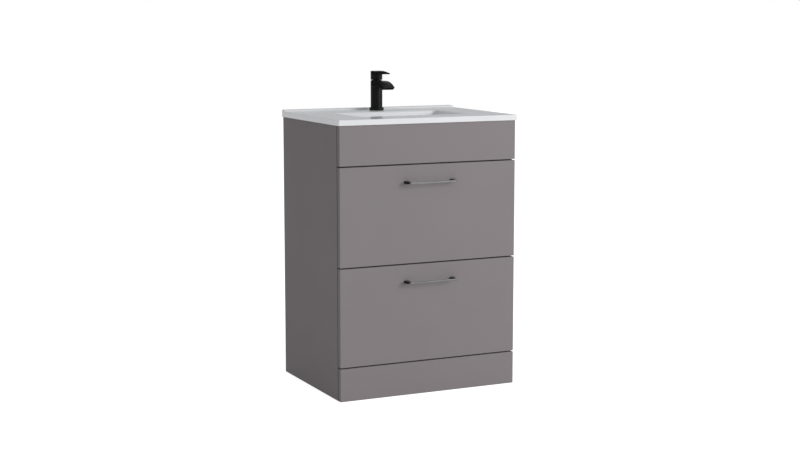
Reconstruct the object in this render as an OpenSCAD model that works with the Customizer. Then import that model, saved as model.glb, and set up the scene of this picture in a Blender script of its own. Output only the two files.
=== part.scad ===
// Floor-standing bathroom vanity cabinet with two drawers, a ceramic basin and a mixer tap.
// Frame: X across, front faces -Y, Z up from the floor. The origin is under the middle of the whole.

/* [Cabinet] */
// Width of the cabinet and of its front panels
cabinet_w = 600; // [560:10:700]
// Depth from the face of the front panels to the wall
cabinet_d = 460; // [455:5:480]
// Height of the cabinet under the basin
cabinet_h = 842; // [838:2:860]
// Thickness of the carcass boards and of the front panels
board_t = 18; // [16:1:19]

/* [Fronts] */
// Height of the plinth panel
plinth_h = 102; // [90:1:110]
// Height of each drawer front
drawer_front_h = 303.5; // [296:0.5:306]
// Gap between one front panel and the next
reveal = 3.5; // [2:0.5:5]
// Gap between the front panels and the front edge of the carcass
shadow_gap = 2.5; // [2:0.5:4]

/* [Handles] */
// Length of a handle
handle_l = 160; // [120:5:200]
// How far a handle stands out from its drawer front
handle_out = 32; // [28:1:40]
// Height of a handle's bar
handle_bar_h = 6; // [5:0.5:9]
// Distance from a drawer front's top edge to the middle of its handle
handle_drop = 53; // [45:1:80]

/* [Drawers] */
// Thickness of the drawer box boards
box_t = 15; // [12:1:16]
// Height of a drawer box
box_h = 180; // [150:5:190]
// Travel of a drawer, and the length of its runners
runner_l = 400; // [380:5:410]
// Width of the cut-out round the waste in the upper drawer
cutout_w = 200; // [160:5:220]

/* [Basin] */
// Width of the basin
basin_w = 610; // [600:2:720]
// How far the basin overhangs the front panels
basin_overhang = 5; // [2:1:10]
// Thickness of the basin's edge
basin_edge_t = 17; // [15:1:20]
// Width of the bowl at the rim
bowl_w = 362; // [330:2:380]
// Length of the bowl at the rim, front to back
bowl_l = 208; // [196:2:216]
// Depth of the bowl
bowl_depth = 120; // [110:1:124]

/* [Tap] */
// Radius of the tap's body and of its lever hub
tap_r = 19.25; // [18.75:0.25:20]
// Height of the tap above the basin's deck
tap_h = 128; // [124:1:140]
// Reach of the spout from the middle of the tap
spout_reach = 101; // [95:1:112]

/* [Hidden] */
$fn = 64;
total_d = cabinet_d + handle_out;
face_y = handle_out - total_d / 2;          // face of the front panels
wall_y = face_y + cabinet_d;                // back of the cabinet, against the wall
panel_y = face_y + board_t;                 // back of the front panels
edge_y = panel_y + shadow_gap;              // front edge of the carcass
half_w = cabinet_w / 2;
in_x = half_w - board_t;                    // inner face of a side panel

lower_z = plinth_h + reveal;
upper_z = lower_z + drawer_front_h + reveal;
false_z = upper_z + drawer_front_h + reveal;

rail_h = 100;
base_z = plinth_h - board_t;
front_rail_y = panel_y;
rear_rail_y = wall_y - board_t;
divider_h = 42;
divider_rise = 18;
// Rails between the side panels: front face, lowest point, height, side that the cams open to
FRONT_TOP = [front_rail_y, cabinet_h - rail_h, rail_h, 1];
UPPER_DIVIDER = [edge_y, false_z + divider_rise - divider_h, divider_h, 1];
LOWER_DIVIDER = [edge_y, upper_z + divider_rise - divider_h, divider_h, 1];
PLINTH = [front_rail_y, 0, base_z, 1];
REAR_TOP = [rear_rail_y, cabinet_h - rail_h, rail_h, -1];
REAR_BOTTOM = [rear_rail_y, plinth_h, rail_h, -1];
RAILS = [FRONT_TOP, UPPER_DIVIDER, LOWER_DIVIDER, PLINTH, REAR_TOP, REAR_BOTTOM];

cam_r = 7.5;
cam_depth = 12.5;
cam_inset = 34;
cam_pitch = 50;
bolt_r = 3.5;
bolt_bite = 11;
dowel_r = 4;
dowel_l = 34;
dowel_bite = 12;
fit_gap = 0.1;
base_cam_y = [face_y + 100, face_y + 370];

screw_r = 1.75;
screw_head_r = 3.5;
screw_head_h = 1.4;
short_screw_l = 12;
pilot_l = short_screw_l + 1;

bracket_z = cabinet_h - rail_h - 50;
bracket_w = 40;
bracket_h = 36;
bracket_t = 2;
bracket_hole_r = 3.5;
bracket_hole_x = in_x - 24;

// Ball runners: three nested channels in the gap beside the drawer box
runner_gap = 12.7;
runner_t = 1.2;
runner_h = [45, 36.2, 27.8];
box_x = in_x - runner_gap;
box_in_x = box_x - box_t;
box_rise = 28;
box_bottom_t = 12;
runner_rise = 60;
back_y = panel_y + runner_l;
runner_y = edge_y + 1;
runner_screw_y = [30, 210, 370];
drawer_screw_y = [60, 340];
cutout_front_y = face_y + 150;

deck_z = cabinet_h + basin_edge_t;
upstand_w = 28;
upstand_h = 6;
bowl_y = face_y + 212;
bowl_wall = 10;
bowl_z = deck_z - bowl_depth;
waste_hole_r = 23;
// The waste's tail: a plain neck under the flange, then the thread for the trap's nut
tail_l = 84;
thread_r = 20.95;
thread_l = 56;
tail_neck_r = 20.5;
flange_z = bowl_z + 1;
flange_t = 3;
flange_r = 32;
seal_t = 3;
seal_r = 31;
plug_gap = 0.3;
stem_r = 4;
click_r = 7;
click_z = bowl_z - 34;

tap_y = wall_y - 70;
ring_z = deck_z + 1;
ring_h = 8;
ring_r = 23.75;
body_z = ring_z + ring_h;
groove_h = 3;
hub_h = 28.5;
hub_z = deck_z + tap_h - hub_h;
body_top = hub_z - groove_h;
hub_wall = 2.25;
pivot_z = hub_z - 20.5;
cartridge_r = 15;
turret_r = 10.5;
neck_r = tap_r - 2.5;
tilt_slot = [-7.2, 9];
inlet_x = 7.5;
inlet_y = tap_y - 3;
inlet_r = 4.5;
inlet_l = 14;
shank_r = 16;
shank_z = deck_z - 7;
stud_y = tap_y + 9;
stud_r = 3;
washer_t = 2;
washer_r = 24;

// Spout: its level top runs to arc_start_y, then an arc of radius arc_r falls to the upper lip
lip_y = tap_y - spout_reach;
lip_drop = 19.5;
lip_back = 13.5;
lip_h = 7;
spout_t = 18;
mouth = [32, 62, 7];
mouth_tilt = 17;
arc_start_y = tap_y - 40;
arc_run = arc_start_y - lip_y;
arc_r = (arc_run * arc_run + lip_drop * lip_drop) / (2 * lip_drop);
arc_end = asin(arc_run / arc_r);

paint = [0.55, 0.52, 0.53];
melamine = [0.5, 0.47, 0.48];
drawer_board = [0.78, 0.77, 0.76];
steel = [0.7, 0.71, 0.73];
dark_metal = [0.3, 0.31, 0.32];
black_paint = [0.1, 0.1, 0.11];
glaze = [0.94, 0.95, 0.96];
brass_metal = [0.75, 0.62, 0.35];
rubber_black = [0.13, 0.13, 0.13];
beech = [0.8, 0.64, 0.44];

// ---- Shapes used by several parts ----

// A board given by two opposite corners
module board(from, to) {
    translate(from) cube(to - from);
}

// The same thing on the right and, mirrored, on the left
module both_sides() {
    children();
    mirror([1, 0, 0]) children();
}

module on_side(side) {
    if (side > 0) children();
    else mirror([1, 0, 0]) children();
}

// A screw that points along -Z, with its head above z = 0
module screw(length) {
    translate([0, 0, -length]) cylinder(h = length, r = screw_r);
    cylinder(h = screw_head_h, r = screw_head_r);
}

module screw_hole(length) {
    translate([0, 0, -length]) cylinder(h = length + 1, r = screw_r + fit_gap);
}

// Turns something that points along -Z towards +X or -Y
module pointing_right() rotate([0, -90, 0]) children();
module pointing_front() rotate([-90, 0, 0]) children();

// A rectangle with rounded corners, as a thin plate for hulls
module rounded_plate(size, r, z) {
    for (x = [-1, 1], y = [-1, 1])
        translate([x * (size[0] / 2 - r), y * (size[1] / 2 - r), z])
            cylinder(h = 0.01, r = r, $fn = 32);
}

// ---- Carcass ----

module rail_cam_places(rail) {
    middle_z = rail[1] + rail[2] / 2;
    open_y = rail[3] > 0 ? rail[0] + board_t : rail[0];
    both_sides()
        for (dz = [-1, 1])
            translate([in_x - cam_inset, open_y, middle_z + dz * min(cam_pitch, rail[2] / 2) / 2])
                rotate([rail[3] > 0 ? -90 : 90, 0, 0]) children();
}

module base_cam_places() {
    both_sides()
        for (y = base_cam_y)
            translate([in_x - cam_inset, y, base_z]) rotate([180, 0, 0]) children();
}

// A bolt's axis runs sideways from the cam into the side panel
module rail_bolt_places(rail) {
    middle_z = rail[1] + rail[2] / 2;
    both_sides()
        for (dz = [-1, 1])
            translate([in_x, rail[0] + board_t / 2,
                       middle_z + dz * min(cam_pitch, rail[2] / 2) / 2]) children();
}

module base_bolt_places() {
    both_sides()
        for (y = base_cam_y) translate([in_x, y, base_z + board_t / 2]) children();
}

module rail_dowel_places(rail) {
    both_sides()
        translate([in_x, rail[0] + board_t / 2, rail[1] + rail[2] / 2]) children();
}

module base_dowel_places() {
    both_sides()
        translate([in_x, (base_cam_y[0] + base_cam_y[1]) / 2, base_z + board_t / 2]) children();
}

module cam_pocket() {
    translate([0, 0, -cam_depth]) cylinder(h = cam_depth + 1, r = cam_r + fit_gap);
}

module bolt(gap = 0) {
    inner_l = cam_inset - cam_r - fit_gap;
    translate([-inner_l - gap, 0, 0]) rotate([0, 90, 0])
        cylinder(h = inner_l + bolt_bite + 2 * gap, r = bolt_r + gap);
}

module dowel(gap = 0) {
    translate([dowel_bite - dowel_l - gap, 0, 0]) rotate([0, 90, 0])
        cylinder(h = dowel_l + 2 * gap, r = dowel_r + gap);
}

module side_panel(side) {
    color(melamine)
    on_side(side)
    difference() {
        board([in_x, edge_y, 0], [half_w, wall_y, cabinet_h]);
        intersection() {
            board([0, edge_y, 0], [half_w, wall_y, cabinet_h]);
            union() {
                for (rail = RAILS) {
                    rail_bolt_places(rail) bolt(fit_gap);
                    rail_dowel_places(rail) dowel(fit_gap);
                }
                base_bolt_places() bolt(fit_gap);
                base_dowel_places() dowel(fit_gap);
            }
        }
        for (z = [lower_z, upper_z]) cabinet_runner_screw_places(z) pointing_right() screw_hole(pilot_l);
        bracket_screw_places() pointing_right() screw_hole(pilot_l);
    }
}

module base_panel() {
    color(melamine)
    difference() {
        board([-in_x, edge_y, base_z], [in_x, wall_y, plinth_h]);
        base_cam_places() cam_pocket();
        base_bolt_places() bolt(fit_gap);
        base_dowel_places() dowel(fit_gap);
    }
}

module rail(rail, holds_panel = false) {
    color(melamine)
    difference() {
        board([-in_x, rail[0], rail[1]], [in_x, rail[0] + board_t, rail[1] + rail[2]]);
        rail_cam_places(rail) cam_pocket();
        rail_bolt_places(rail) bolt(fit_gap);
        rail_dowel_places(rail) dowel(fit_gap);
        if (holds_panel) panel_screw_places(rail) screw_hole(board_t + 1);
    }
}

module front_top_rail() rail(FRONT_TOP, true);
module upper_divider_rail() rail(UPPER_DIVIDER);
module lower_divider_rail() rail(LOWER_DIVIDER);
module plinth_rail() rail(PLINTH, true);
module rear_top_rail() rail(REAR_TOP);
module rear_bottom_rail() rail(REAR_BOTTOM);

// Screws through a front rail into the panel in front of it
module panel_screw_places(rail) {
    for (x = [-190, 0, 190])
        translate([x, rail[0] + board_t, rail[1] + rail[2] / 2]) pointing_front() children();
}

module false_front_panel() {
    color(paint)
    difference() {
        board([-half_w, face_y, false_z], [half_w, panel_y, cabinet_h]);
        panel_screw_places(FRONT_TOP) screw_hole(board_t + 12);
    }
}

module plinth_panel() {
    color(paint)
    difference() {
        board([-half_w, face_y, 0], [half_w, panel_y, plinth_h]);
        panel_screw_places(PLINTH) screw_hole(board_t + 12);
    }
}

module front_panel_screws() {
    color(steel)
    for (rail = [FRONT_TOP, PLINTH]) panel_screw_places(rail) screw(board_t + 11);
}

// The cam discs in the boards' ends and the bolts that they pull on
module cam_fittings() {
    color(steel) {
        for (rail = RAILS) {
            rail_cam_places(rail) cam_lock();
            rail_bolt_places(rail) bolt();
        }
        base_cam_places() cam_lock();
        base_bolt_places() bolt();
    }
}

// A cam disc with a cross slot for the screwdriver
module cam_lock() {
    difference() {
        translate([0, 0, fit_gap - cam_depth]) cylinder(h = cam_depth - fit_gap, r = cam_r);
        for (turn = [0, 90])
            rotate([0, 0, turn]) translate([-5, -0.8, -2]) cube([10, 1.6, 3]);
    }
}

module joining_dowels() {
    color(beech) {
        for (rail = RAILS) rail_dowel_places(rail) dowel();
        base_dowel_places() dowel();
    }
}

// ---- Wall brackets ----

module bracket_screw_places() {
    for (dz = [-9, 9])
        translate([in_x - bracket_t, wall_y - 26, bracket_z + bracket_h / 2 + dz]) children();
}

module wall_brackets() {
    color(steel)
    both_sides()
    difference() {
        union() {
            board([in_x - bracket_t, wall_y - bracket_w, bracket_z],
                  [in_x, wall_y, bracket_z + bracket_h]);
            board([in_x - bracket_w, wall_y - bracket_t, bracket_z],
                  [in_x, wall_y, bracket_z + bracket_h]);
        }
        bracket_screw_places() pointing_right() screw_hole(5);
        translate([bracket_hole_x, wall_y + 1, bracket_z + bracket_h / 2]) rotate([90, 0, 0])
            cylinder(h = bracket_t + 2, r = bracket_hole_r);
    }
}

module wall_bracket_screws() {
    color(steel) both_sides() bracket_screw_places() pointing_right() screw(short_screw_l);
}

// ---- Runners ----

// One member of a runner: a channel along Y, its web at web_x and its flanges towards tip_x
module channel(web_x, tip_x, h, from_y, length, z) {
    low = min(web_x, tip_x);
    high = max(web_x, tip_x);
    web_low = web_x < tip_x ? web_x : web_x - runner_t;
    board([web_low, from_y, z - h / 2], [web_low + runner_t, from_y + length, z + h / 2]);
    for (edge = [-1, 1]) {
        flange_z = z + edge * (h - runner_t) / 2;
        board([low, from_y, flange_z - runner_t / 2],
              [high, from_y + length, flange_z + runner_t / 2]);
    }
}

module cabinet_runner_screw_places(front_z) {
    for (y = runner_screw_y)
        translate([in_x - runner_t, runner_y + y, front_z + runner_rise]) children();
}

module drawer_runner_screw_places(front_z) {
    for (y = drawer_screw_y)
        translate([box_x + runner_t, runner_y + y, front_z + runner_rise]) children();
}

module cabinet_runner(side, front_z) {
    color(steel)
    on_side(side)
    difference() {
        channel(in_x, in_x - 10.2, runner_h[0], runner_y, runner_l, front_z + runner_rise);
        cabinet_runner_screw_places(front_z) pointing_right() screw_hole(3);
    }
}

module cabinet_runner_screws() {
    color(steel) both_sides()
        for (z = [lower_z, upper_z]) cabinet_runner_screw_places(z) pointing_right() screw(short_screw_l);
}

module middle_runner(side, front_z) {
    color(steel)
    on_side(side)
        channel(in_x - 3.3, in_x - 10.7, runner_h[1], runner_y + 6, runner_l - 20,
                front_z + runner_rise);
}

module drawer_runners(front_z) {
    color(steel)
    both_sides()
    difference() {
        channel(box_x, box_x + 6.2, runner_h[2], runner_y, runner_l - 8, front_z + runner_rise);
        drawer_runner_screw_places(front_z) rotate([0, 90, 0]) screw_hole(3);
    }
}

module drawer_runner_screws(front_z) {
    color(steel) both_sides()
        drawer_runner_screw_places(front_z) rotate([0, 90, 0]) screw(short_screw_l);
}

// ---- Drawers ----

module drawer_front(front_z) {
    color(paint)
    difference() {
        board([-half_w, face_y, front_z], [half_w, panel_y, front_z + drawer_front_h]);
        handle_screw_places(front_z) screw_hole(board_t + 1);
    }
}

module handle_screw_places(front_z) {
    for (x = [-1, 1])
        translate([x * (handle_l / 2 - 4), panel_y, front_z + drawer_front_h - handle_drop])
            pointing_front() children();
}

// A D-bar: a straight bar on two posts whose feet spread outwards
module handle(front_z) {
    z = front_z + drawer_front_h - handle_drop;
    bar_y = face_y - handle_out;
    post_w = 8;
    post_h = 8.5;
    foot_spread = 6.5;
    bar_t = 6;
    bar_end = handle_l / 2;
    post = [[bar_end - post_w, bar_y + 1], [bar_end, bar_y + 1], [bar_end + foot_spread, face_y],
            [bar_end - post_w, face_y]];
    color(dark_metal)
    difference() {
        union() {
            board([-bar_end, bar_y, z - handle_bar_h / 2], [bar_end, bar_y + bar_t, z + handle_bar_h / 2]);
            for (side = [-1, 1])
                on_side(side) translate([0, 0, z - post_h / 2]) linear_extrude(post_h) polygon(post);
        }
        handle_screw_places(front_z) screw_hole(board_t + 14);
    }
}

module handle_screws(front_z) {
    color(steel) handle_screw_places(front_z) screw(board_t + 12);
}

module box_side(side, front_z) {
    z = front_z + box_rise;
    color(drawer_board)
    on_side(side)
    difference() {
        board([box_in_x, panel_y, z], [box_x, back_y, z + box_h]);
        drawer_runner_screw_places(front_z) rotate([0, 90, 0]) screw_hole(pilot_l);
    }
}

module upper_box_bottom() {
    z = upper_z + box_rise;
    color(drawer_board)
    difference() {
        board([-box_in_x, panel_y, z], [box_in_x, back_y, z + box_bottom_t]);
        board([-cutout_w / 2, cutout_front_y + box_t, z - 1], [cutout_w / 2, back_y + 1, z + box_bottom_t + 1]);
    }
}

// Three boards round the cut-out
module upper_box_cutout_liner() {
    low = upper_z + box_rise + box_bottom_t;
    high = upper_z + box_rise + box_h;
    outer = cutout_w / 2 + box_t;
    color(drawer_board) {
        board([-outer, cutout_front_y, low], [outer, cutout_front_y + box_t, high]);
        both_sides()
            board([cutout_w / 2, cutout_front_y + box_t, low], [outer, back_y, high]);
    }
}

module upper_box_backs() {
    low = upper_z + box_rise + box_bottom_t;
    high = upper_z + box_rise + box_h;
    color(drawer_board) both_sides()
        board([cutout_w / 2 + box_t, back_y - box_t, low], [box_in_x, back_y, high]);
}

module lower_box_bottom() {
    z = lower_z + box_rise;
    color(drawer_board)
    board([-box_in_x, panel_y, z], [box_in_x, back_y, z + box_bottom_t]);
}

module lower_box_back() {
    low = lower_z + box_rise + box_bottom_t;
    color(drawer_board)
    board([-box_in_x, back_y - box_t, low], [box_in_x, back_y, lower_z + box_rise + box_h]);
}

// Soft pads between a drawer front and the edges of the side panels
module bumpers(front_z) {
    pad_r = 4;
    color(rubber_black) both_sides()
        for (z = [front_z + 20, front_z + drawer_front_h - 20])
            translate([half_w - board_t / 2, panel_y, z]) rotate([-90, 0, 0])
                cylinder(h = shadow_gap - 0.3, r = pad_r);
}

// ---- Basin ----

module basin() {
    slab_top = [bowl_w, bowl_l];
    floor_size = [bowl_w - 52, bowl_l - 48];
    rim_r = 12;
    floor_r = 45;
    color(glaze)
    difference() {
        union() {
            board([-basin_w / 2, face_y - basin_overhang, cabinet_h], [basin_w / 2, wall_y, deck_z]);
            board([-basin_w / 2, wall_y - upstand_w, cabinet_h],
                  [basin_w / 2, wall_y, deck_z + upstand_h]);
            translate([0, bowl_y, 0]) hull() {
                rounded_plate(slab_top + [2, 2] * bowl_wall, rim_r + bowl_wall, cabinet_h + 2);
                rounded_plate(floor_size + [2, 2] * bowl_wall, floor_r, bowl_z - bowl_wall);
            }
        }
        translate([0, bowl_y, 0]) hull() {
            rounded_plate(slab_top, rim_r, deck_z + 1);
            rounded_plate(floor_size, floor_r, bowl_z);
        }
        translate([0, bowl_y, bowl_z - bowl_wall - 1]) cylinder(h = bowl_wall + 2, r = waste_hole_r);
        translate([0, tap_y, cabinet_h - 1]) cylinder(h = basin_edge_t + 2, r = 17.5);
    }
}

// ---- Basin waste ----

module waste_body() {
    bore_r = 16;
    spider_z = click_z - 2;
    color(steel)
    translate([0, bowl_y, 0]) {
        difference() {
            union() {
                translate([0, 0, flange_z]) cylinder(h = flange_t, r = flange_r);
                translate([0, 0, flange_z - tail_l]) cylinder(h = tail_l + 1, r = tail_neck_r);
                translate([0, 0, flange_z - tail_l]) cylinder(h = thread_l, r = thread_r);
            }
            translate([0, 0, flange_z - tail_l - 1]) cylinder(h = tail_l + flange_t + 2, r = bore_r);
        }
        difference() {
            union() {
                translate([0, 0, spider_z]) cylinder(h = 30, r = click_r);
                for (turn = [0, 120, 240])
                    rotate([0, 0, turn]) translate([click_r - 1, -1.5, spider_z])
                        cube([bore_r - click_r + 2, 3, 8]);
            }
            translate([0, 0, click_z]) cylinder(h = 30, r = stem_r + 0.06);
        }
    }
}

// Washers above and below the bowl's floor
module waste_seals() {
    color(rubber_black)
    translate([0, bowl_y, 0])
    for (ring = [[bowl_z, flange_z - bowl_z, waste_hole_r + 1],
                 [bowl_z - bowl_wall - seal_t, seal_t, tail_neck_r + fit_gap]])
        translate([0, 0, ring[0]])
            difference() {
                cylinder(h = ring[1], r = seal_r);
                translate([0, 0, -1]) cylinder(h = ring[1] + 2, r = ring[2]);
            }
}

module waste_back_nut() {
    nut_h = 10;
    color(brass_metal)
    translate([0, bowl_y, bowl_z - bowl_wall - seal_t - nut_h])
    difference() {
        cylinder(h = nut_h, r = 29, $fn = 6);
        translate([0, 0, -1]) cylinder(h = nut_h + 2, r = tail_neck_r + fit_gap);
    }
}

module waste_plug() {
    cap_z = flange_z + flange_t + plug_gap;
    color(steel)
    translate([0, bowl_y, 0]) {
        translate([0, 0, cap_z]) cylinder(h = 3, r = 30);
        translate([0, 0, cap_z + 2.9]) cylinder(h = 1.5, r1 = 30, r2 = 24);
        translate([0, 0, click_z + 0.5]) cylinder(h = cap_z - click_z, r = stem_r);
    }
}

// ---- Tap ----

// Outline of the spout in the Y-Z plane
function spout_outline(steps = 16) = concat(
    [[tap_y, body_top], [arc_start_y, body_top]],
    [for (i = [1:steps])
        let (a = arc_end * i / steps)
        [arc_start_y - arc_r * sin(a), body_top - arc_r * (1 - cos(a))]],
    [for (i = [0:steps])
        let (t = i / steps, lip = [lip_y + lip_back, body_top - lip_drop - lip_h])
        [lip[0] + t * (arc_start_y - 6 - lip[0]),
         lip[1] + (body_top - spout_t - lip[1]) * sin(90 * t)]],
    [[tap_y, body_top - spout_t]]);

// A plate across X made from an outline in the Y-Z plane
module plate_across(outline, width) {
    translate([-width / 2, 0, 0]) rotate([90, 0, 90]) linear_extrude(width) polygon(outline);
}

module tap_body() {
    color(black_paint)
    difference() {
        union() {
            translate([0, tap_y, body_z]) cylinder(h = body_top - body_z, r = tap_r);
            translate([0, tap_y, shank_z]) cylinder(h = body_z - shank_z + 1, r = shank_r);
            plate_across(spout_outline(), 2 * tap_r - 0.1);
        }
        // cartridge chamber, then the wider seat of its nut
        translate([0, tap_y, body_top - 42]) cylinder(h = 43, r = cartridge_r + fit_gap);
        translate([0, tap_y, body_top - 7.5]) cylinder(h = 9, r = neck_r + fit_gap);
        // waterway to the mouth
        translate([0, lip_y + lip_back / 2, body_top - lip_drop - lip_h / 2])
            rotate([mouth_tilt, 0, 0]) translate([-mouth[0] / 2, -12, -mouth[2] / 2]) cube(mouth);
        // threaded inlets and the stud's hole
        for (x = [-inlet_x, inlet_x])
            translate([x, inlet_y, shank_z - 1]) cylinder(h = inlet_l + 1, r = inlet_r);
        translate([0, stud_y, shank_z - 1]) cylinder(h = 13, r = stud_r + fit_gap);
    }
}

module tap_base_ring() {
    chamfer = 1.5;
    color(black_paint)
    translate([0, tap_y, ring_z])
    difference() {
        union() {
            cylinder(h = ring_h - chamfer, r = ring_r);
            translate([0, 0, ring_h - chamfer]) cylinder(h = chamfer, r1 = ring_r, r2 = ring_r - chamfer);
        }
        translate([0, 0, -1]) cylinder(h = ring_h + 2, r = shank_r + fit_gap);
    }
}

// Gasket under the base ring and the horseshoe seal under the basin
module tap_seals() {
    color(rubber_black) {
        translate([0, tap_y, deck_z])
            difference() {
                cylinder(h = 1, r = ring_r - 1);
                translate([0, 0, -1]) cylinder(h = 3, r = shank_r + fit_gap);
            }
        horseshoe(cabinet_h - seal_t, seal_t);
    }
}

// A washer open at the front for the supply tails
module horseshoe(z, t) {
    translate([0, tap_y, z])
    difference() {
        cylinder(h = t, r = washer_r);
        board([-13.5, -30, -1], [13.5, 3.5, t + 1]);
        translate([0, stud_y - tap_y, -1]) cylinder(h = t + 2, r = stud_r + fit_gap);
    }
}

module tap_fixing_kit() {
    nut_l = 15;
    washer_z = cabinet_h - seal_t - washer_t;
    nut_z = washer_z - nut_l;
    stud_z = nut_z - 30;
    color(brass_metal) {
        horseshoe(washer_z, washer_t);
        translate([0, stud_y, stud_z]) cylinder(h = shank_z + 11 - stud_z, r = stud_r);
        translate([0, stud_y, nut_z])
            difference() {
                cylinder(h = nut_l, r = 6, $fn = 6);
                translate([0, 0, -1]) cylinder(h = nut_l + 2, r = stud_r + fit_gap);
            }
    }
}

module tap_cartridge() {
    low = body_top - 42 + fit_gap;
    color(glaze)
    translate([0, tap_y, 0])
    difference() {
        translate([0, 0, low]) cylinder(h = 34, r = cartridge_r);
        translate([0, 0, pivot_z - 9]) cylinder(h = 40, r = turret_r + 0.3);
    }
}

// Turns with the lever and lets its spindle tip backwards
module cartridge_turret() {
    color(drawer_board)
    translate([0, tap_y, 0])
    difference() {
        translate([0, 0, pivot_z - 6]) cylinder(h = 18, r = turret_r);
        board([-4.3, tilt_slot[0], pivot_z - 7], [4.3, tilt_slot[1], pivot_z + 13]);
    }
}

module cartridge_nut() {
    color(black_paint)
    translate([0, tap_y, body_top - 7.4])
    difference() {
        cylinder(h = 9.2, r = neck_r);
        translate([0, 0, -1]) cylinder(h = 12, r = 11.5);
    }
}

module lever_spindle() {
    color(brass_metal)
    translate([0, tap_y, pivot_z - 8]) cylinder(h = 48, r = stem_r);
}

module tap_lever() {
    top_z = hub_z + hub_h;
    tip_y = tap_y - 63;
    tip_drop = 5.8;
    tip_t = 3.3;
    root_t = 11.5;
    cavity_h = 17.5;
    blade = [[tap_y, top_z], [tap_y - 10, top_z], [tap_y - 26, top_z - 1], [tap_y - 44, top_z - 3.1],
             [tip_y, top_z - tip_drop], [tip_y, top_z - tip_drop - tip_t], [tap_y, top_z - root_t]];
    color(black_paint)
    difference() {
        union() {
            difference() {
                union() {
                    translate([0, tap_y, hub_z]) cylinder(h = hub_h, r = tap_r);
                    plate_across(blade, 2 * tap_r - 0.4);
                }
                translate([0, tap_y, hub_z - 1])
                    cylinder(h = cavity_h + 1, r = tap_r - hub_wall);
            }
            translate([0, tap_y, hub_z + 6]) cylinder(h = hub_h - 8, r = 8);
        }
        translate([0, tap_y, hub_z]) cylinder(h = 20.5, r = stem_r + 0.05);
        // hole for the key of the grub screw, at the back
        translate([0, tap_y, hub_z + 13]) rotate([-90, 0, 0]) cylinder(h = 30, r = 2.5);
    }
}

// ---- Each sub-part, drawn once ----

side_panel(-1);  // side_panel_left
side_panel(1);  // side_panel_right
base_panel();
front_top_rail();
upper_divider_rail();
lower_divider_rail();
plinth_rail();
rear_top_rail();
rear_bottom_rail();
false_front_panel();
plinth_panel();
front_panel_screws();
cam_fittings();
joining_dowels();
wall_brackets();
wall_bracket_screws();
cabinet_runner(-1, upper_z);  // upper_cabinet_runner_left
cabinet_runner(1, upper_z);  // upper_cabinet_runner_right
cabinet_runner(-1, lower_z);  // lower_cabinet_runner_left
cabinet_runner(1, lower_z);  // lower_cabinet_runner_right
cabinet_runner_screws();
middle_runner(-1, upper_z);  // upper_middle_runner_left
middle_runner(1, upper_z);  // upper_middle_runner_right
middle_runner(-1, lower_z);  // lower_middle_runner_left
middle_runner(1, lower_z);  // lower_middle_runner_right
drawer_front(upper_z);  // upper_drawer_front
handle(upper_z);  // upper_handle
handle_screws(upper_z);  // upper_handle_screws
box_side(-1, upper_z);  // upper_box_side_left
box_side(1, upper_z);  // upper_box_side_right
upper_box_backs();
upper_box_cutout_liner();
upper_box_bottom();
drawer_runners(upper_z);  // upper_drawer_runners
drawer_runner_screws(upper_z);  // upper_runner_screws
bumpers(upper_z);  // upper_bumpers
drawer_front(lower_z);  // lower_drawer_front
handle(lower_z);  // lower_handle
handle_screws(lower_z);  // lower_handle_screws
box_side(-1, lower_z);  // lower_box_side_left
box_side(1, lower_z);  // lower_box_side_right
lower_box_back();
lower_box_bottom();
drawer_runners(lower_z);  // lower_drawer_runners
drawer_runner_screws(lower_z);  // lower_runner_screws
bumpers(lower_z);  // lower_bumpers
basin();
waste_body();
waste_seals();
waste_back_nut();
waste_plug();
tap_body();
tap_base_ring();
tap_seals();
tap_cartridge();
cartridge_turret();
cartridge_nut();
tap_lever();
lever_spindle();
tap_fixing_kit();
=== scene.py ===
import math

import bmesh
import bpy
from mathutils import Matrix, Vector


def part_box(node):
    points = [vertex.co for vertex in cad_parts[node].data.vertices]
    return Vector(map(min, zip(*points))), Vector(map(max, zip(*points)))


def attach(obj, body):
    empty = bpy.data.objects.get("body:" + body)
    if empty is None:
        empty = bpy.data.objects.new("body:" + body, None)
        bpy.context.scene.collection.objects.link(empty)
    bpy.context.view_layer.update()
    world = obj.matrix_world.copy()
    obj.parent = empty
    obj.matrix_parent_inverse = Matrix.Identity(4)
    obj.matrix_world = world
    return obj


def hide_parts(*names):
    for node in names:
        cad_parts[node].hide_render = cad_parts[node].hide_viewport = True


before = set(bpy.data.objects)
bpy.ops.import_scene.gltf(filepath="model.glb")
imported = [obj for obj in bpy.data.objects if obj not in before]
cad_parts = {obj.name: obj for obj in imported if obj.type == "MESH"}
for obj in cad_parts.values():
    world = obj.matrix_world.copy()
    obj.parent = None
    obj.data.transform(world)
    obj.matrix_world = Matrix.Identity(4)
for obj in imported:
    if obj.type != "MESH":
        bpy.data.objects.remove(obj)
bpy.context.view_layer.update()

# ---- Camera ----
# Stands about five metres off, at breast height, in front of the cabinet and to its left,
# looking a little down with a short telephoto lens.
camera_turn = math.radians(25.4)
camera_dip = math.radians(7.8)
camera_distance = 4.956
camera_target = Vector((0.0015, 0, 0.501))

camera_data = bpy.data.cameras.new("camera")
camera_data.lens = 69.6
camera = bpy.data.objects.new("camera", camera_data)
bpy.context.collection.objects.link(camera)
view_line = Vector((math.sin(camera_turn) * math.cos(camera_dip),
                    math.cos(camera_turn) * math.cos(camera_dip),
                    -math.sin(camera_dip)))
camera.location = camera_target - camera_distance * view_line
camera.rotation_euler = (math.pi / 2 - camera_dip, 0, -camera_turn)
bpy.context.scene.camera = camera
bpy.context.scene.view_settings.view_transform = "Standard"


# ---- Studio ----
# A pale floor that glows a little, an even grey-white surround, and one large soft lamp in front
# and to the right, so the front is the brightest side and the left side falls to half of it.
floor_reach = 12
floor_seen_glow = 0.72
floor_fill_glow = 0.17
surround_glow = 0.51


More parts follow.
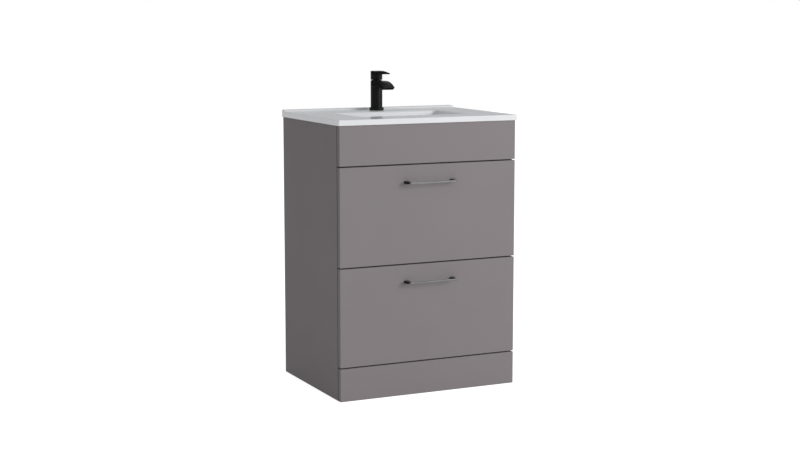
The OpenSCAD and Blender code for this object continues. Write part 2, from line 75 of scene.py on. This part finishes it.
def finish_material(name):
    material = bpy.data.materials.new(name)
    material.use_nodes = True
    tree = material.node_tree
    return material, tree, tree.nodes["Principled BSDF"]


floor_paint, floor_tree, floor_shader = finish_material("studio_floor")
floor_shader.inputs["Base Color"].default_value = (0.9, 0.9, 0.9, 1)
floor_shader.inputs["Roughness"].default_value = 0.9
floor_shader.inputs["Emission Color"].default_value = (1, 1, 1, 1)
seen = floor_tree.nodes.new("ShaderNodeLightPath")
lift = floor_tree.nodes.new("ShaderNodeMapRange")
lift.inputs["To Min"].default_value = floor_fill_glow
lift.inputs["To Max"].default_value = floor_seen_glow
floor_tree.links.new(seen.outputs["Is Camera Ray"], lift.inputs["Value"])
floor_tree.links.new(lift.outputs["Result"], floor_shader.inputs["Emission Strength"])

floor_bm = bmesh.new()
bmesh.ops.create_grid(floor_bm, x_segments=1, y_segments=1, size=floor_reach)
floor_mesh = bpy.data.meshes.new("floor")
floor_bm.to_mesh(floor_mesh)
floor_bm.free()
floor_mesh.materials.append(floor_paint)
floor = bpy.data.objects.new("floor", floor_mesh)
bpy.context.collection.objects.link(floor)

world = bpy.data.worlds.new("studio")
world.use_nodes = True
bpy.context.scene.world = world
surround = world.node_tree.nodes["Background"]
backdrop = world.node_tree.nodes.new("ShaderNodeBackground")
either = world.node_tree.nodes.new("ShaderNodeMixShader")
ray = world.node_tree.nodes.new("ShaderNodeLightPath")
surround.inputs["Color"].default_value = (0.97, 0.98, 1, 1)
surround.inputs["Strength"].default_value = surround_glow
backdrop.inputs["Color"].default_value = (1, 1, 1, 1)
world_links = world.node_tree.links
world_links.new(ray.outputs["Is Camera Ray"], either.inputs["Fac"])
world_links.new(surround.outputs[0], either.inputs[1])
world_links.new(backdrop.outputs[0], either.inputs[2])
world_links.new(either.outputs[0], world.node_tree.nodes["World Output"].inputs["Surface"])


def lamp(name, place, aim, size, power):
    data = bpy.data.lights.new(name, "AREA")
    data.shape = "RECTANGLE"
    data.size, data.size_y = size
    data.energy = power
    light = bpy.data.objects.new(name, data)
    bpy.context.collection.objects.link(light)
    light.location = place
    light.rotation_euler = (Vector(aim) - Vector(place)).to_track_quat("-Z", "Y").to_euler()


lamp("key", place=(4.94, -5.89, 2.7), aim=(0, 0, 0.5), size=(3, 3), power=292)


# ---- Carcass boards ----
# Melamine-faced chipboard, 18 mm, sawn square. The side panels stand on the floor, and cam
# fittings pull the rails and base panel up between them. The front rails and the front edges of the side
# panels are painted near-black as painted shade in the gaps.
def noise(tree, scale, detail, stretch=(1, 1, 1)):
    coords = tree.nodes.new("ShaderNodeTexCoord")
    mapping = tree.nodes.new("ShaderNodeMapping")
    mapping.inputs["Scale"].default_value = stretch
    texture = tree.nodes.new("ShaderNodeTexNoise")
    texture.inputs["Scale"].default_value = scale
    texture.inputs["Detail"].default_value = detail
    tree.links.new(coords.outputs["Object"], mapping.inputs["Vector"])
    tree.links.new(mapping.outputs["Vector"], texture.inputs["Vector"])
    return texture


def varied(tree, texture, low, high, socket):
    spread = tree.nodes.new("ShaderNodeMapRange")
    spread.inputs["From Min"].default_value = 0.3
    spread.inputs["From Max"].default_value = 0.7
    spread.inputs["To Min"].default_value = low
    spread.inputs["To Max"].default_value = high
    tree.links.new(texture.outputs["Fac"], spread.inputs["Value"])
    tree.links.new(spread.outputs["Result"], socket)


def tinted(tree, texture, dark, light, socket):
    ramp = tree.nodes.new("ShaderNodeValToRGB")
    ramp.color_ramp.elements[0].position = 0.3
    ramp.color_ramp.elements[0].color = (*dark, 1)
    ramp.color_ramp.elements[1].position = 0.7
    ramp.color_ramp.elements[1].color = (*light, 1)
    tree.links.new(texture.outputs["Fac"], ramp.inputs["Fac"])
    tree.links.new(ramp.outputs["Color"], socket)


def bumped(tree, texture, shader, strength, distance):
    bump = tree.nodes.new("ShaderNodeBump")
    bump.inputs["Strength"].default_value = strength
    bump.inputs["Distance"].default_value = distance
    tree.links.new(texture.outputs["Fac"], bump.inputs["Height"])
    tree.links.new(bump.outputs["Normal"], shader.inputs["Normal"])


def shade(colour, factor):
    return tuple(part * factor for part in colour)


def coated(name, colour, roughness, tone=0.03, grain=900, depth=0.15, stretch=(1, 1, 1), gloss=0.5):
    """A painted, faced or moulded surface: faint patches of tone, with a fine grain in the relief."""
    material, tree, shader = finish_material(name)
    shader.inputs["Specular IOR Level"].default_value = gloss
    patches = noise(tree, 6, 3, stretch)
    fine = noise(tree, grain, 4, stretch)
    tinted(tree, patches, shade(colour, 1 - tone), shade(colour, 1 + tone), shader.inputs["Base Color"])
    varied(tree, fine, roughness[0], roughness[1], shader.inputs["Roughness"])
    bumped(tree, fine, shader, depth, 0.0002)
    return material


def box_between(bm, low, high):
    size = Vector(high) - Vector(low)
    place = Matrix.Translation((Vector(low) + Vector(high)) / 2) @ Matrix.Diagonal((*size, 1))
    return bmesh.ops.create_cube(bm, size=1, matrix=place)["verts"]


def rounded(bm, edges, radius, segments=3):
    bmesh.ops.bevel(bm, geom=edges, offset=radius, offset_type="OFFSET", segments=segments,
                    profile=0.5, affect="EDGES", clamp_overlap=True, material=-1)


def finished(name, bm, material, body, node):
    """Puts a modelled piece in the scene, riding on its body in place of its node."""
    bmesh.ops.recalc_face_normals(bm, faces=bm.faces)
    mesh = bpy.data.meshes.new(name)
    bm.to_mesh(mesh)
    bm.free()
    mesh.shade_smooth()
    mesh.set_sharp_from_angle(angle=math.radians(50))
    mesh.materials.append(material)
    piece = bpy.data.objects.new(name, mesh)
    bpy.context.collection.objects.link(piece)
    weighted = piece.modifiers.new("weighted", "WEIGHTED_NORMAL")
    weighted.keep_sharp = True
    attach(piece, body)
    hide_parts(node)
    return piece


def second_finish(piece, material, chosen):
    """Gives another finish to the faces of a piece that the chosen test picks out."""
    piece.data.materials.append(material)
    for face in piece.data.polygons:
        face.material_index = int(chosen(face))


def edged_board(node, edge, material, body):
    bm = bmesh.new()
    box_between(bm, *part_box(node))
    rounded(bm, list(bm.edges), edge)
    return finished(node + "_board", bm, material, body, node)


def clad(material, *nodes):
    """Gives CAD nodes that keep their own shape a better finish."""
    for node in nodes:
        node_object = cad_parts[node]
        node_object.data.materials.clear()
        node_object.data.materials.append(material)


grey = (0.226, 0.2025, 0.209)
board_edge = 0.0006
# The carcass boards take the front grey darkened to about three quarters, as painted shade for the
# cabinet side that faces away from the lamp.
carcass_painted_shade = coated("carcass_painted_shade", shade(grey, 0.76), (0.45, 0.55), grain=1400, depth=0.2,
                        gloss=0.2)
# A near-black copy of the grey: painted shade for the front rails and side panel front edges seen through
# the gaps.
gap_painted_shade = coated("gap_painted_shade", shade(grey, 0.4), (0.5, 0.6), grain=1400, depth=0.2, gloss=0.15)
for side in ("left", "right"):
    board = edged_board("side_panel_" + side, board_edge, carcass_painted_shade, "cabinet")
    # The side panels' front edges take the near-black painted shade.
    second_finish(board, gap_painted_shade, lambda face: face.normal.y < -0.9)
clad(carcass_painted_shade, "base_panel", "rear_top_rail", "rear_bottom_rail")
clad(gap_painted_shade, "front_top_rail", "upper_divider_rail", "lower_divider_rail", "plinth_rail")

# ---- Front panels ----
# Lacquered boards, 18 mm, softly rounded all round, their side edges painted with the darker carcass grey
# as painted shade.
# The false front and the plinth are screwed to their rails; the other two belong to the drawers.
front_lacquer = coated("front_lacquer", grey, (0.46, 0.54), tone=0.015, grain=500, depth=0.06,
                       gloss=0.25)
front_edge = 0.0016
for panel, body in (("false_front_panel", "cabinet"), ("plinth_panel", "cabinet"),
                    ("upper_drawer_front", "upper_drawer"), ("lower_drawer_front", "lower_drawer")):
    board = edged_board(panel, front_edge, front_lacquer, body)
    # The side edges take the darker carcass grey as painted shade.
    second_finish(board, carcass_painted_shade, lambda face: abs(face.normal.x) > 0.9)

# ---- Drawer boxes ----
# Light grey boards, 15 mm, butted and doweled. The upper box is cut away at the back round
# the waste, and three boards line the cut-out.
box_facing = coated("box_facing", (0.56, 0.55, 0.54), (0.45, 0.6), grain=1100, depth=0.25,
                    stretch=(1, 0.15, 1))
box_edge = 0.0007
for level in ("upper", "lower"):
    for part in ("_box_side_left", "_box_side_right"):
        edged_board(level + part, box_edge, box_facing, level + "_drawer")
for node in ("lower_box_bottom", "lower_box_back"):
    edged_board(node, box_edge, box_facing, "lower_drawer")
clad(box_facing, "upper_box_bottom", "upper_box_cutout_liner", "upper_box_backs")

# ---- Runners ----
# Ball runners of three members a side, roll formed from zinc-plated steel, that telescope to the
# drawer's full depth. They are screwed to the side panels and to the drawer boxes.
def plated(name, colour, roughness, stretch, grain=160):
    """Bare or plated metal with the faint lines of rolling or polishing along one direction."""
    material, tree, shader = finish_material(name)
    shader.inputs["Metallic"].default_value = 1
    lines = noise(tree, grain, 5, stretch)
    tinted(tree, lines, shade(colour, 0.9), shade(colour, 1.06), shader.inputs["Base Color"])
    varied(tree, lines, roughness[0], roughness[1], shader.inputs["Roughness"])
    bumped(tree, lines, shader, 0.12, 0.0001)
    return material


rolled_zinc = plated("rolled_zinc", (0.6, 0.62, 0.65), (0.28, 0.42), (6, 0.1, 6))
clad(rolled_zinc, *(level + "_" + member + "_runner_" + side for level in ("upper", "lower")
                    for member in ("cabinet", "middle") for side in ("left", "right")),
     "upper_drawer_runners", "lower_drawer_runners")

# ---- Fixings ----
# Zinc-plated screws, die-cast cams with their bolts, beech dowels, pressed wall brackets and
# small rubber bumpers that hold each drawer front off the side panels.
zinc = plated("bright_zinc", (0.66, 0.68, 0.7), (0.22, 0.36), (1, 1, 1), grain=240)
die_cast = plated("die_cast", (0.5, 0.51, 0.53), (0.45, 0.6), (1, 1, 1), grain=400)
beech = coated("beech", (0.6, 0.4, 0.24), (0.5, 0.65), tone=0.18, grain=300, depth=0.3,
               stretch=(0.08, 1, 1))
clad(zinc, "front_panel_screws", "wall_bracket_screws", "cabinet_runner_screws", "wall_brackets",
     "upper_handle_screws", "lower_handle_screws", "upper_runner_screws", "lower_runner_screws")
clad(die_cast, "cam_fittings")
clad(beech, "joining_dowels")


def turned(bm, outline, centre=(0, 0, 0), axis=(0, 0, 1), steps=64):
    """Turns a closed outline of (radius, height) points round an axis through centre."""
    turn = Vector((0, 0, 1)).rotation_difference(Vector(axis)).to_matrix().to_4x4()
    place = Matrix.Translation(centre) @ turn
    corners = [bm.verts.new(place @ Vector((radius, 0, height))) for radius, height in outline]
    edges = [bm.edges.new((corners[i], corners[i + 1])) for i in range(len(corners) - 1)]
    if outline[0][0] > 0:
        edges.append(bm.edges.new((corners[-1], corners[0])))
    bmesh.ops.spin(bm, geom=corners + edges, cent=centre, axis=axis, angle=2 * math.pi,
                   steps=steps, use_merge=True)
    bmesh.ops.remove_doubles(bm, verts=bm.verts, dist=1e-6)


def arc(centre, radius, start, end, steps=5):
    """Points of a round corner in an outline, from one angle to another, in degrees."""
    turns = [math.radians(start + (end - start) * i / steps) for i in range(steps + 1)]
    return [(centre[0] + radius * math.cos(t), centre[1] + radius * math.sin(t)) for t in turns]


rubber = coated("rubber", (0.03, 0.03, 0.031), (0.6, 0.75), grain=900, depth=0.25)
bump_r = 0.004
bump_edge = 0.0012
for level in ("upper", "lower"):
    low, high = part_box(level + "_bumpers")
    bump_l = high[1] - low[1]
    dome = ([(0, 0), (bump_r, 0)] + arc((bump_r - bump_edge, bump_l - bump_edge), bump_edge, 0, 90)
            + [(0, bump_l)])
    bm = bmesh.new()
    for x in (low[0] + bump_r, high[0] - bump_r):
        for z in (low[2] + bump_r, high[2] - bump_r):
            turned(bm, dome, (x, low[1], z), (0, 1, 0), steps=24)
    finished(level + "_bumper_pads", bm, rubber, level + "_drawer", level + "_bumpers")

# ---- Handles ----
# A square bar on two posts with spread feet, cast in one piece and dark plated, with rounded
# corners and eased edges; the posts are painted near-black as painted shade. Two machine screws hold it
# from inside the drawer.
gunmetal = plated("gunmetal", (0.225, 0.225, 0.23), (0.16, 0.26), (0.1, 4, 4), grain=220)
# A near-black copy of the gunmetal, painted on the posts as painted shade.
post_painted_shade = plated("post_painted_shade", (0.05, 0.05, 0.052), (0.3, 0.4), (4, 4, 4), grain=220)
bar_t = 0.006
bar_h = 0.006
post_w = 0.008
foot_spread = 0.0065
bend_r = 0.0025
handle_edge = 0.0008
for level in ("upper", "lower"):
    low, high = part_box(level + "_handle")
    bar_end = high[0] - foot_spread
    bar_back = low[1] + bar_t
    outer = bar_end + foot_spread * bar_t / (high[1] - low[1])
    inner = bar_end - post_w
    bm = bmesh.new()
    right, left = ([bm.verts.new((side * x, y, low[2])) for x, y in (
        (bar_end, low[1]), (outer, bar_back), (high[0], high[1]), (inner, high[1]), (inner, bar_back))]
        for side in (1, -1))
    bases = [bm.faces.new(ring) for ring in (
        right[1:], left[:0:-1], [right[0], right[1], right[4], left[4], left[1], left[0]])]
    raised = bmesh.ops.extrude_face_region(bm, geom=bases, use_keep_orig=True)["geom"]
    bmesh.ops.translate(bm, vec=(0, 0, high[2] - low[2]),
                        verts=[part for part in raised if isinstance(part, bmesh.types.BMVert)])
    bar = [v for v in bm.verts if v.co.y < bar_back + 1e-5]
    middle = Matrix.Translation((0, 0, -(low[2] + high[2]) / 2))
    bmesh.ops.scale(bm, vec=(1, 1, bar_h / (high[2] - low[2])), space=middle, verts=bar)
    corners = [e for e in bm.edges if abs(e.verts[0].co.y - low[1]) < 1e-5
               and abs(e.verts[1].co.y - low[1]) < 1e-5 and abs(e.verts[0].co.x - e.verts[1].co.x) < 1e-5]
    rounded(bm, corners, bend_r, 5)
    sharp = [e for e in bm.edges if e.calc_face_angle(0) > math.radians(60)]
    rounded(bm, sharp, handle_edge)
    handle = finished(level + "_handle_bar", bm, gunmetal, level + "_drawer", level + "_handle")
    # The posts behind the bar take the near-black painted shade.
    second_finish(handle, post_painted_shade, lambda face: face.center.y > bar_back)

# ---- Basin ----
# Vitreous china, slip cast in one piece and glazed: a slab that overhangs the cabinet, a low
# upstand at the wall, and a rectangular bowl whose corners grow rounder towards its floor.
basin_low, basin_high = (Vector(corner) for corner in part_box("basin"))
slab_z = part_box("side_panel_left")[1][2]
slab_t = 0.017
slab_corner_r = 0.005
slab_edge = 0.0018
deck_z = slab_z + slab_t
upstand_y = basin_high.y - 0.028
upstand_slope = 0.0015
bowl_size = Vector((0.362, 0.208))
bowl_corner_r = 0.012
bowl_lip = 0.0045
floor_size = Vector((0.31, 0.16))
floor_corner_r = 0.045
floor_sweep = 0.026
floor_fall = 0.003
bowl_wall = 0.01
outer_sweep = 0.03
bowl_centre = ((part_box("waste_body")[0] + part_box("waste_body")[1]) / 2).to_2d()
bowl_z = basin_low.z + bowl_wall
seat_r = 0.036
waste_hole = 0.023
tap_hole = 0.0175
corner_steps = 8


def rounded_loop(bm, centre, size, radius, z):
    """The edges of a rectangle with round corners, as one closed loop."""
    corners = [bm.verts.new((centre.x + x * size.x / 2, centre.y + y * size.y / 2, z))
               for x, y in ((-1, -1), (1, -1), (1, 1), (-1, 1))]
    bm.faces.new(corners)
    result = bmesh.ops.bevel(bm, geom=corners, offset=radius, offset_type="OFFSET",
                             segments=corner_steps, profile=0.5, affect="VERTICES",
                             clamp_overlap=True, material=-1)
    face = next(f for v in result["verts"] for f in v.link_faces if len(f.verts) > corner_steps)
    edges = list(face.edges)
    bmesh.ops.delete(bm, geom=[face], context="FACES_ONLY")
    return edges


def round_loop(bm, centre, radius, z):
    place = Matrix.Translation((centre.x, centre.y, z)) @ Matrix.Rotation(math.pi / 4, 4, "Z")
    ring = bmesh.ops.create_circle(bm, segments=4 * (corner_steps + 1), radius=radius, matrix=place)
    return list({edge for vert in ring["verts"] for edge in vert.link_edges})


def bridge(bm, *loops):
    for first, second in zip(loops, loops[1:]):
        bmesh.ops.bridge_loops(bm, edges=first + second)


def cut_away(piece, cutter_bm, operation="DIFFERENCE"):
    """Cuts one solid out of a piece, or joins it on, and keeps the result as the piece's mesh."""
    mesh = bpy.data.meshes.new("cutter")
    bmesh.ops.recalc_face_normals(cutter_bm, faces=cutter_bm.faces)
    cutter_bm.to_mesh(mesh)
    cutter_bm.free()
    cutter = bpy.data.objects.new("cutter", mesh)
    bpy.context.collection.objects.link(cutter)
    boolean = piece.modifiers.new("cut", "BOOLEAN")
    boolean.operation = operation
    boolean.object = cutter
    boolean.solver = "EXACT"
    bpy.context.view_layer.update()
    result = bpy.data.meshes.new_from_object(piece.evaluated_get(bpy.context.evaluated_depsgraph_get()))
    piece.modifiers.clear()
    piece.data = result
    bpy.data.objects.remove(cutter)


wall_step = 2 * Vector((bowl_wall, bowl_wall))
slab_size = (basin_high - basin_low).to_2d()
slab_centre = ((basin_high + basin_low) / 2).to_2d()
bm = bmesh.new()
deck = rounded_loop(bm, slab_centre, slab_size, slab_corner_r, deck_z)
rim = rounded_loop(bm, bowl_centre, bowl_size, bowl_corner_r, deck_z)
bowl_floor = rounded_loop(bm, bowl_centre, floor_size, floor_corner_r, bowl_z + floor_fall)
seat = round_loop(bm, bowl_centre, seat_r, bowl_z)
hole_top = round_loop(bm, bowl_centre, waste_hole, bowl_z)
hole_under = round_loop(bm, bowl_centre, waste_hole, basin_low.z)
outer_floor = rounded_loop(bm, bowl_centre, floor_size + wall_step, floor_corner_r, basin_low.z)
outer_rim = rounded_loop(bm, bowl_centre, bowl_size + wall_step, bowl_corner_r + bowl_wall, slab_z)
under = rounded_loop(bm, slab_centre, slab_size, slab_corner_r, slab_z)
bridge(bm, deck, rim, bowl_floor, seat, hole_top, hole_under, outer_floor, outer_rim, under, deck)
bmesh.ops.recalc_face_normals(bm, faces=bm.faces)
rounded(bm, rim, bowl_lip, 5)
rounded(bm, bowl_floor, floor_sweep, 8)
rounded(bm, outer_floor, outer_sweep, 6)

bmesh.ops.bisect_plane(bm, geom=list(bm.verts) + list(bm.edges) + list(bm.faces),
                       plane_co=(0, upstand_y, 0), plane_no=(0, 1, 0))
bm.normal_update()
rear_top = [f for f in bm.faces if f.normal.z > 0.99 and f.calc_center_median().y > upstand_y]
raised = bmesh.ops.extrude_face_region(bm, geom=rear_top)["geom"]
raised = [part for part in raised if isinstance(part, bmesh.types.BMVert)]
bmesh.ops.delete(bm, geom=rear_top, context="FACES_ONLY")
bmesh.ops.translate(bm, verts=raised, vec=(0, 0, basin_high.z - deck_z))
upstand_top = [v for v in raised if v.co.y < upstand_y + 0.001]
bmesh.ops.translate(bm, verts=upstand_top, vec=(0, upstand_slope, 0))
bm.normal_update()
bowl_reach = bowl_size.x / 2 + 0.02
brim = [e for e in bm.edges if e.calc_face_angle(0) > math.radians(40)
        and min(v.co.z for v in e.verts) > deck_z - 1e-5
        and (abs(e.verts[0].co.x) > bowl_reach or e.verts[0].co.y > upstand_y - 0.001)]
rounded(bm, brim, slab_edge, 4)

glaze, glaze_tree, glaze_shader = finish_material("glaze")
cloud = noise(glaze_tree, 9, 2)
ripple = noise(glaze_tree, 28, 2)
tinted(glaze_tree, cloud, (0.765, 0.77, 0.78), (0.795, 0.8, 0.81), glaze_shader.inputs["Base Color"])
varied(glaze_tree, ripple, 0.18, 0.24, glaze_shader.inputs["Roughness"])
bumped(glaze_tree, ripple, glaze_shader, 0.02, 0.001)
glaze_shader.inputs["Specular IOR Level"].default_value = 0.35
glaze_shader.inputs["Coat Weight"].default_value = 0.08
glaze_shader.inputs["Coat Roughness"].default_value = 0.06
basin = finished("basin_china", bm, glaze, "cabinet", "basin")

tap_low, tap_high = (Vector(corner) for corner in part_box("tap_base_ring"))
tap_centre = (tap_low + tap_high) / 2
bm = bmesh.new()
bmesh.ops.create_cone(bm, cap_ends=True, segments=48, radius1=tap_hole, radius2=tap_hole, depth=0.1,
                      matrix=Matrix.Translation((tap_centre.x, tap_centre.y, slab_z)))
cut_away(basin, bm)

# ---- Basin waste ----
# Chromed brass: a flanged body whose threaded tail hangs under the bowl on a back nut and
# rubber washers, and a domed plug that is pressed to open and shut.
chrome = plated("chrome", (0.72, 0.73, 0.75), (0.05, 0.1), (1, 1, 1), grain=90)
brass = plated("turned_brass", (0.72, 0.54, 0.28), (0.25, 0.4), (1, 1, 6), grain=200)
clad(rubber, "waste_seals", "tap_seals")
clad(brass, "waste_back_nut", "tap_fixing_kit")
clad(chrome, "waste_body")

plug_low, plug_high = (Vector(corner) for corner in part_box("waste_plug"))
plug_r = (plug_high.x - plug_low.x) / 2
stem_r = 0.004
cap_t = 0.003
dome_h = 0.0014
under_edge = 0.0012
upper_edge = 0.002
cap_z = plug_high.z - cap_t - dome_h - plug_low.z
crown = [(plug_r * (1 - i / 10), cap_z + cap_t + dome_h * math.sin(math.pi / 2 * i / 10))
         for i in range(3, 11)]
plug_outline = ([(0, 0), (stem_r, 0), (stem_r, cap_z)]
                + arc((plug_r - under_edge, cap_z + under_edge), under_edge, -90, 0)
                + arc((plug_r - upper_edge, cap_z + cap_t / 2), upper_edge, 0, 60) + crown)
bm = bmesh.new()
turned(bm, plug_outline, (bowl_centre.x, bowl_centre.y, plug_low.z))
finished("plug_cap", bm, chrome, "plug", "waste_plug")

# ---- Tap ----
# A cast brass mixer in matt black, its flat side faces given a glossless copy of the black as painted
# shade: a base ring, a round body with a flat spout that grows out of its sides, and a lever as wide as
# the body, over a narrow neck.
black = coated("matt_black", (0.0075, 0.0075, 0.008), (0.34, 0.42), tone=0.12, grain=1500, depth=0.12,
               gloss=0.15)
# A glossless copy of the black, painted on the flat side faces as painted shade.
tap_side_painted_shade = coated("tap_side_painted_shade", (0.014, 0.014, 0.0145), (0.5, 0.6), tone=0.12, grain=1500, depth=0.12,
                    gloss=0)
clad(black, "cartridge_nut", "lever_spindle")
clad(coated("cartridge_case", (0.7, 0.7, 0.68), (0.35, 0.5)), "tap_cartridge")
clad(coated("turret_plastic", (0.3, 0.3, 0.32), (0.4, 0.55)), "cartridge_turret")

ring_r = (tap_high.x - tap_low.x) / 2
ring_h = tap_high.z - tap_low.z
ring_bore = 0.0161
ring_foot = 0.0012
ring_top = 0.0015
bm = bmesh.new()
turned(bm, [(ring_bore, 0), (ring_r - ring_foot / 2, 0)]
       + arc((ring_r - ring_foot, 1.5 * ring_foot), ring_foot, -30, 0)
       + arc((ring_r - ring_top, ring_h - ring_top), ring_top, 0, 90)
       + [(ring_bore, ring_h)], (tap_centre.x, tap_centre.y, tap_low.z), steps=96)
finished("tap_base", bm, black, "cabinet", "tap_base_ring")

body_low, body_high = (Vector(corner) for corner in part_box("tap_body"))
tap_r = (body_high.x - body_low.x) / 2
lip_y = body_low.y
lip_drop = 0.0195
lip_back = 0.0135
lip_h = 0.007
spout_t = 0.018
spout_half = tap_r - 0.0002
belly_run = 0.006
arc_start = tap_centre.y - 0.040
arc_run = arc_start - lip_y
arc_r = (arc_run ** 2 + lip_drop ** 2) / (2 * lip_drop)
arc_end = math.asin(arc_run / arc_r)


def spout_outline(steps=16):
    """Side view of the spout: level top, arc to the lip, slanted mouth, hollow underside."""
    points = [(tap_centre.y, body_high.z)]
    for i in range(steps + 1):
        turn = arc_end * i / steps
        points.append((arc_start - arc_r * math.sin(turn), body_high.z - arc_r * (1 - math.cos(turn))))
    lower_lip = (lip_y + lip_back, body_high.z - lip_drop - lip_h)
    for i in range(steps + 1):
        t = i / steps
        points.append((lower_lip[0] + t * (arc_start - belly_run - lower_lip[0]),
                       lower_lip[1] + (body_high.z - spout_t - lower_lip[1]) * math.sin(math.pi / 2 * t)))
    return points + [(tap_centre.y, body_high.z - spout_t)]


def slab_across(outline, half_width, edge, edge_steps=3):
    """A solid with the given side view, as wide as the tap, its long edges rounded."""
    bm = bmesh.new()
    side = bm.faces.new([bm.verts.new((tap_centre.x - half_width, y, z)) for y, z in outline])
    moved = bmesh.ops.extrude_face_region(bm, geom=[side], use_keep_orig=True)["geom"]
    bmesh.ops.translate(bm, vec=(2 * half_width, 0, 0),
                        verts=[part for part in moved if isinstance(part, bmesh.types.BMVert)])
    bmesh.ops.recalc_face_normals(bm, faces=bm.faces)
    rim = [e for e in bm.edges if e.calc_face_angle(0) > math.radians(60)]
    rounded(bm, rim, edge, edge_steps)
    return bm


bm = bmesh.new()
body_z = tap_high.z
body_h = body_high.z - body_z
shank_z = body_low.z - body_z
shank_r = 0.016
nut_r = 0.01685
nut_depth = 0.0075
cartridge_r = 0.0151
cartridge_depth = 0.042
tap_edge = 0.0006
spout_edge = 0.0007
turned(bm, [(0, shank_z), (shank_r, shank_z), (shank_r, 0), (tap_r, 0)]
       + arc((tap_r - tap_edge, body_h - tap_edge), tap_edge, 0, 90, 3)
       + [(nut_r, body_h), (nut_r, body_h - nut_depth), (cartridge_r, body_h - nut_depth),
          (cartridge_r, body_h - cartridge_depth), (0, body_h - cartridge_depth)],
       (tap_centre.x, tap_centre.y, body_z), steps=96)
tap_body = finished("tap_column", bm, black, "cabinet", "tap_body")
cut_away(tap_body, slab_across(spout_outline(), spout_half, spout_edge), "UNION")

# The waterway rises backwards from the mouth, and shows as a wide dark slot.
mouth_w, mouth_l, mouth_h = 0.032, 0.062, 0.007
mouth_ahead = 0.012
mouth_rise = math.radians(17)
mouth_corner_r = 0.0015
mouth_turn = Matrix.Translation((tap_centre.x, lip_y + lip_back / 2, body_high.z - lip_drop - lip_h / 2))
bm = bmesh.new()
box_between(bm, (-mouth_w / 2, -mouth_ahead, -mouth_h / 2),
            (mouth_w / 2, mouth_l - mouth_ahead, mouth_h / 2))
long_edges = [e for e in bm.edges if abs(e.verts[0].co.y - e.verts[1].co.y) > mouth_l / 2]
rounded(bm, long_edges, mouth_corner_r, 4)
bmesh.ops.transform(bm, matrix=mouth_turn @ Matrix.Rotation(mouth_rise, 4, "X"), verts=bm.verts)
cut_away(tap_body, bm)

lever_low, lever_high = (Vector(corner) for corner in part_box("tap_lever"))
blade_half = 0.01905
hub_h = lever_high.z - lever_low.z
hub_edge = 0.0008
cavity_r = 0.017
cavity_h = 0.0175
boss_r = 0.008
boss_z = 0.006
bm = bmesh.new()
turned(bm, [(cavity_r, 0.0003), (tap_r - tap_edge, 0)]
       + arc((tap_r - tap_edge, tap_edge), tap_edge, -90, 0, 3)
       + arc((tap_r - hub_edge, hub_h - hub_edge), hub_edge, 0, 90, 4)
       + [(0, hub_h), (0, boss_z), (boss_r, boss_z), (boss_r, cavity_h), (cavity_r, cavity_h)],
       (tap_centre.x, tap_centre.y, lever_low.z), steps=96)
tap_lever = finished("lever_handle", bm, black, "lever", "tap_lever")
blade = [(tap_centre.y - run, lever_high.z - drop)
         for run, drop in ((0, 0), (0.01, 0), (0.018, 0.0004), (0.026, 0.001), (0.035, 0.0019),
                           (0.044, 0.0031), (0.054, 0.0045), (0.063, 0.0058), (0.063, 0.0091),
                           (0, 0.0115))]
cut_away(tap_lever, slab_across(blade, blade_half, tap_edge), "UNION")

# The flat side faces and the front of the lever blade take the glossless painted shade.
second_finish(tap_body, tap_side_painted_shade, lambda face: abs(face.normal.x) > 0.9999)
second_finish(tap_lever, tap_side_painted_shade, lambda face: abs(face.normal.x) > 0.9999
              or tap_centre.y - face.center.y > tap_r + 0.001)
